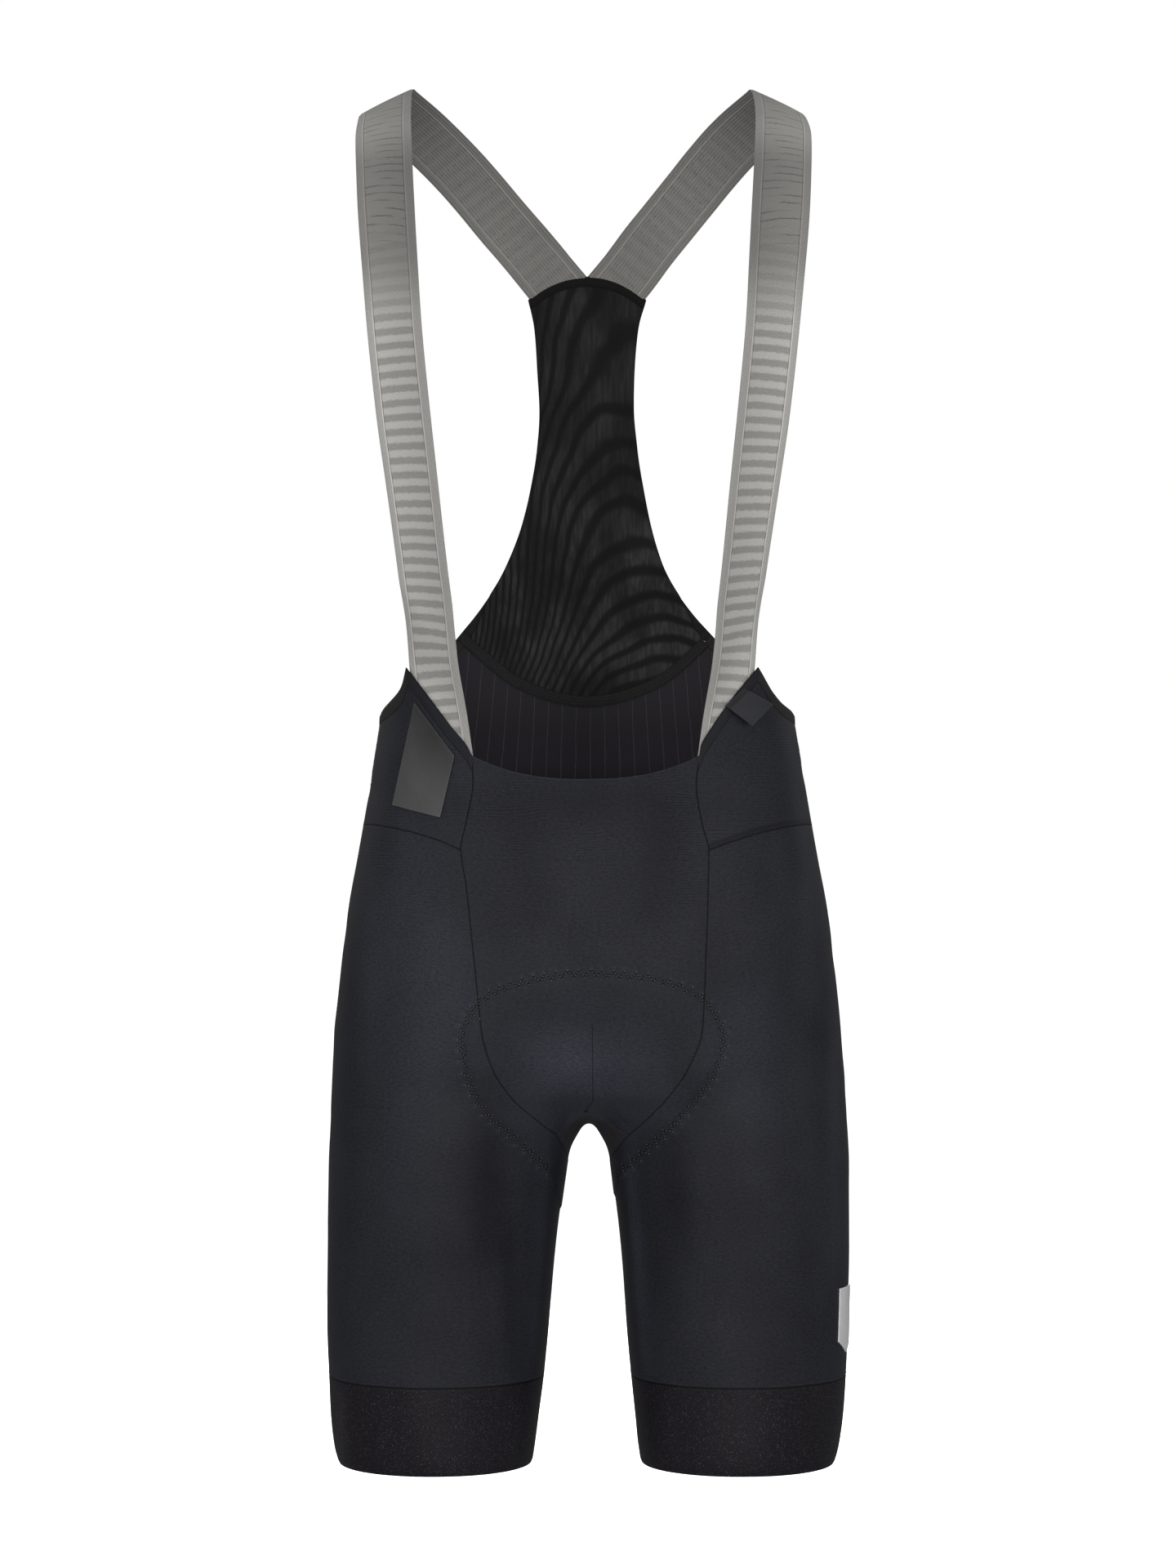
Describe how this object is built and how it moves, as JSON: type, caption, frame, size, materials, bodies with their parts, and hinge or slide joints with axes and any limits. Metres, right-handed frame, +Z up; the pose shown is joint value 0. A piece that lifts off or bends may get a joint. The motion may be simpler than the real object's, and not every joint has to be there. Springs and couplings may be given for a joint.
{
  "type": "cycling bib shorts",
  "caption": "Cycling bib shorts held in their worn hollow form: stretch front, side and leg panels, wide leg bands, a mesh upper back and flat elastic straps over the shoulders.",
  "frame": {"origin": "midway between the shoulder crests of the two straps, where the wearer's shoulders hold the garment up", "axes": "+X to the viewer's right when facing the front, +Y towards the back, +Z up"},
  "size_m": [0.3527, 0.2361, 0.9225],
  "materials": {
    "front_panel": "matte stretch knit",
    "side_panel_left": "matte stretch knit",
    "side_panel_right": "matte stretch knit",
    "leg_panel_left": "matte stretch knit",
    "leg_panel_right": "matte stretch knit",
    "back_panel": "matte pinstriped knit",
    "crotch_gusset": "matte pinstriped knit",
    "leg_band_left": "elastic band, slight sheen",
    "leg_band_right": "elastic band, slight sheen",
    "mesh_top_band": "matte black trim",
    "mesh_edge_left": "matte black trim",
    "mesh_edge_right": "matte black trim",
    "back_seam_tape": "matte black trim",
    "armhole_band_left": "matte black trim",
    "armhole_band_right": "matte black trim",
    "front_binding_left": "matte black trim",
    "front_binding_right": "matte black trim",
    "back_mesh": "fine black mesh",
    "strap_left": "ribbed grey webbing",
    "strap_right": "ribbed grey webbing",
    "label_patch": "grey satin, left bare",
    "folded_tag": "woven black tag, left bare",
    "leg_badge": "pale reflective film, left bare"
  },
  "bodies": {
    "root": {"front_panel": "front_panel", "side_panel_left": "side_panel_left", "side_panel_right": "side_panel_right", "leg_panel_left": "leg_panel_left", "leg_panel_right": "leg_panel_right", "back_panel": "back_panel", "crotch_gusset": "crotch_gusset", "leg_band_left": "leg_band_left", "leg_band_right": "leg_band_right", "mesh_top_band": "mesh_top_band", "mesh_edge_left": "mesh_edge_left", "mesh_edge_right": "mesh_edge_right", "back_seam_tape": "back_seam_tape", "armhole_band_left": "armhole_band_left", "armhole_band_right": "armhole_band_right", "front_binding_left": "front_binding_left", "front_binding_right": "front_binding_right", "back_mesh": "back_mesh", "strap_left": "strap_left", "strap_right": "strap_right", "label_patch": "label_patch", "folded_tag": "folded_tag", "leg_badge": "leg_badge"}
  },
  "joints": []
}
